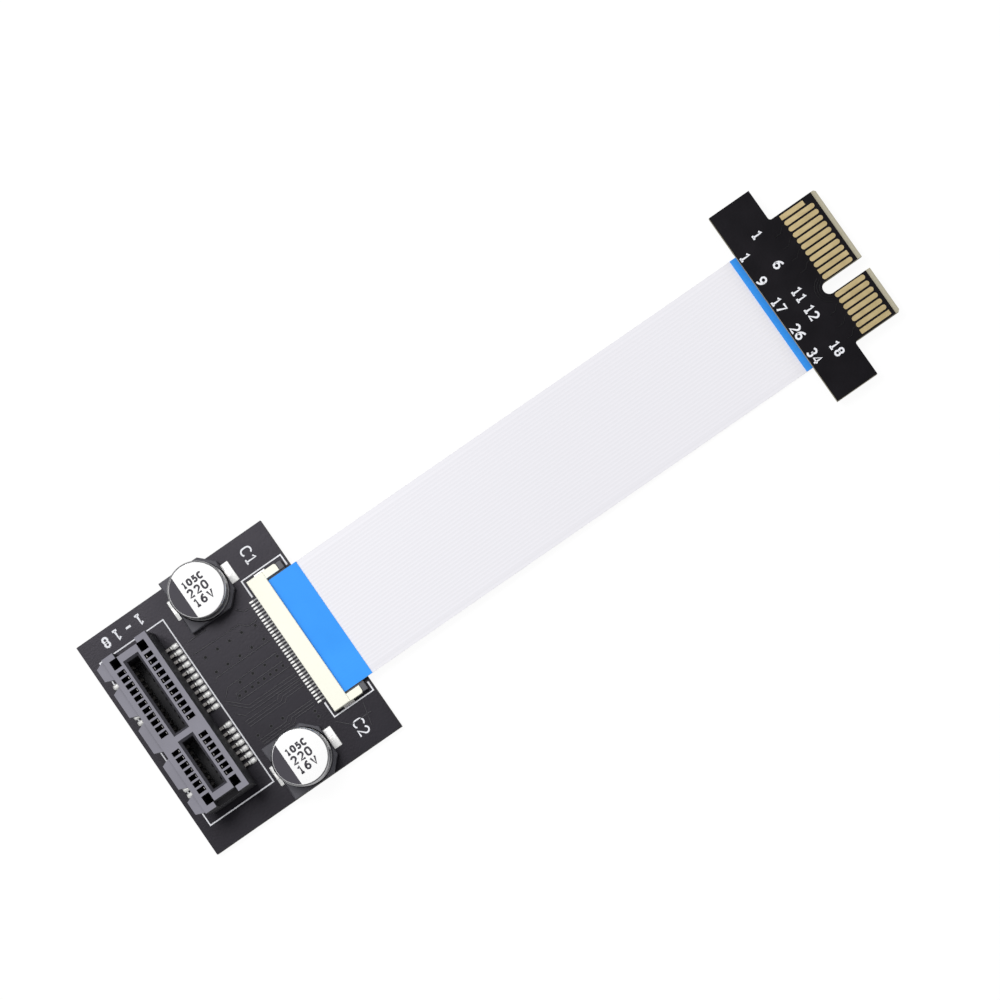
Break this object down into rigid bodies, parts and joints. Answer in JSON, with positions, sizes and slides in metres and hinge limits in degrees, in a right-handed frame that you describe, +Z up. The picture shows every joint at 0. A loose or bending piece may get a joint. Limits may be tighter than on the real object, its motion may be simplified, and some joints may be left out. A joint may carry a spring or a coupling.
{
  "type": "pcie riser card",
  "caption": "Short card-slot extension: a small board with a card socket joined by a flat ribbon cable to a T-shaped plug board with a bevelled gold-contact edge.",
  "frame": {"origin": "on the table, midway along the object, on the cable's centre line, which is also the middle of its width", "axes": "+X along the cable from the socket board to the plug board, +Y across the boards towards the long side of the key, +Z up out of the socket"},
  "size_m": [0.1188, 0.035, 0.0128],
  "materials": {
    "board_mask": "satin near-black solder mask on glass-fibre board",
    "socket_moulding": "matte charcoal moulded plastic",
    "tinned_contact": "bright tin plate",
    "gold_contact": "gold plate",
    "capacitor_base": "matte black moulded plastic",
    "capacitor_can": "bright drawn aluminium with a printed top",
    "connector_ivory": "ivory moulded plastic",
    "slider_grey": "dark grey moulded plastic",
    "cable_film": "white film over flat conductors",
    "stiffener_blue": "blue backing film"
  },
  "bodies": {
    "riser": {"socket_board": "board_mask", "slot_housing": "socket_moulding", "slot_contacts_cable_side": "tinned_contact", "slot_contacts_outer_side": "tinned_contact", "capacitor_1_base": "capacitor_base", "capacitor_1_can": "capacitor_can", "capacitor_1_leads": "tinned_contact", "capacitor_2_base": "capacitor_base", "capacitor_2_can": "capacitor_can", "capacitor_2_leads": "tinned_contact", "socket_connector_housing": "connector_ivory", "socket_connector_contacts": "tinned_contact", "socket_connector_anchors": "tinned_contact", "ribbon_cable": "cable_film", "ribbon_contacts_socket_end": "tinned_contact", "ribbon_contacts_plug_end": "tinned_contact", "stiffener_socket_end": "stiffener_blue", "stiffener_plug_end": "stiffener_blue", "plug_connector_housing": "connector_ivory", "plug_connector_contacts": "tinned_contact", "plug_connector_anchors": "tinned_contact", "plug_board": "board_mask", "edge_contacts_top": "gold_contact", "edge_contacts_bottom": "gold_contact"},
    "socket_slider": {"socket_connector_slider": "slider_grey"},
    "plug_slider": {"plug_connector_slider": "slider_grey"}
  },
  "joints": [
    {"name": "socket_slider_travel", "type": "slide", "parent": "riser", "child": "socket_slider", "axis": [1, 0, 0], "range_m": [0, 0.0012]},
    {"name": "plug_slider_travel", "type": "slide", "parent": "riser", "child": "plug_slider", "axis": [-1, 0, 0], "range_m": [0, 0.0012]}
  ]
}
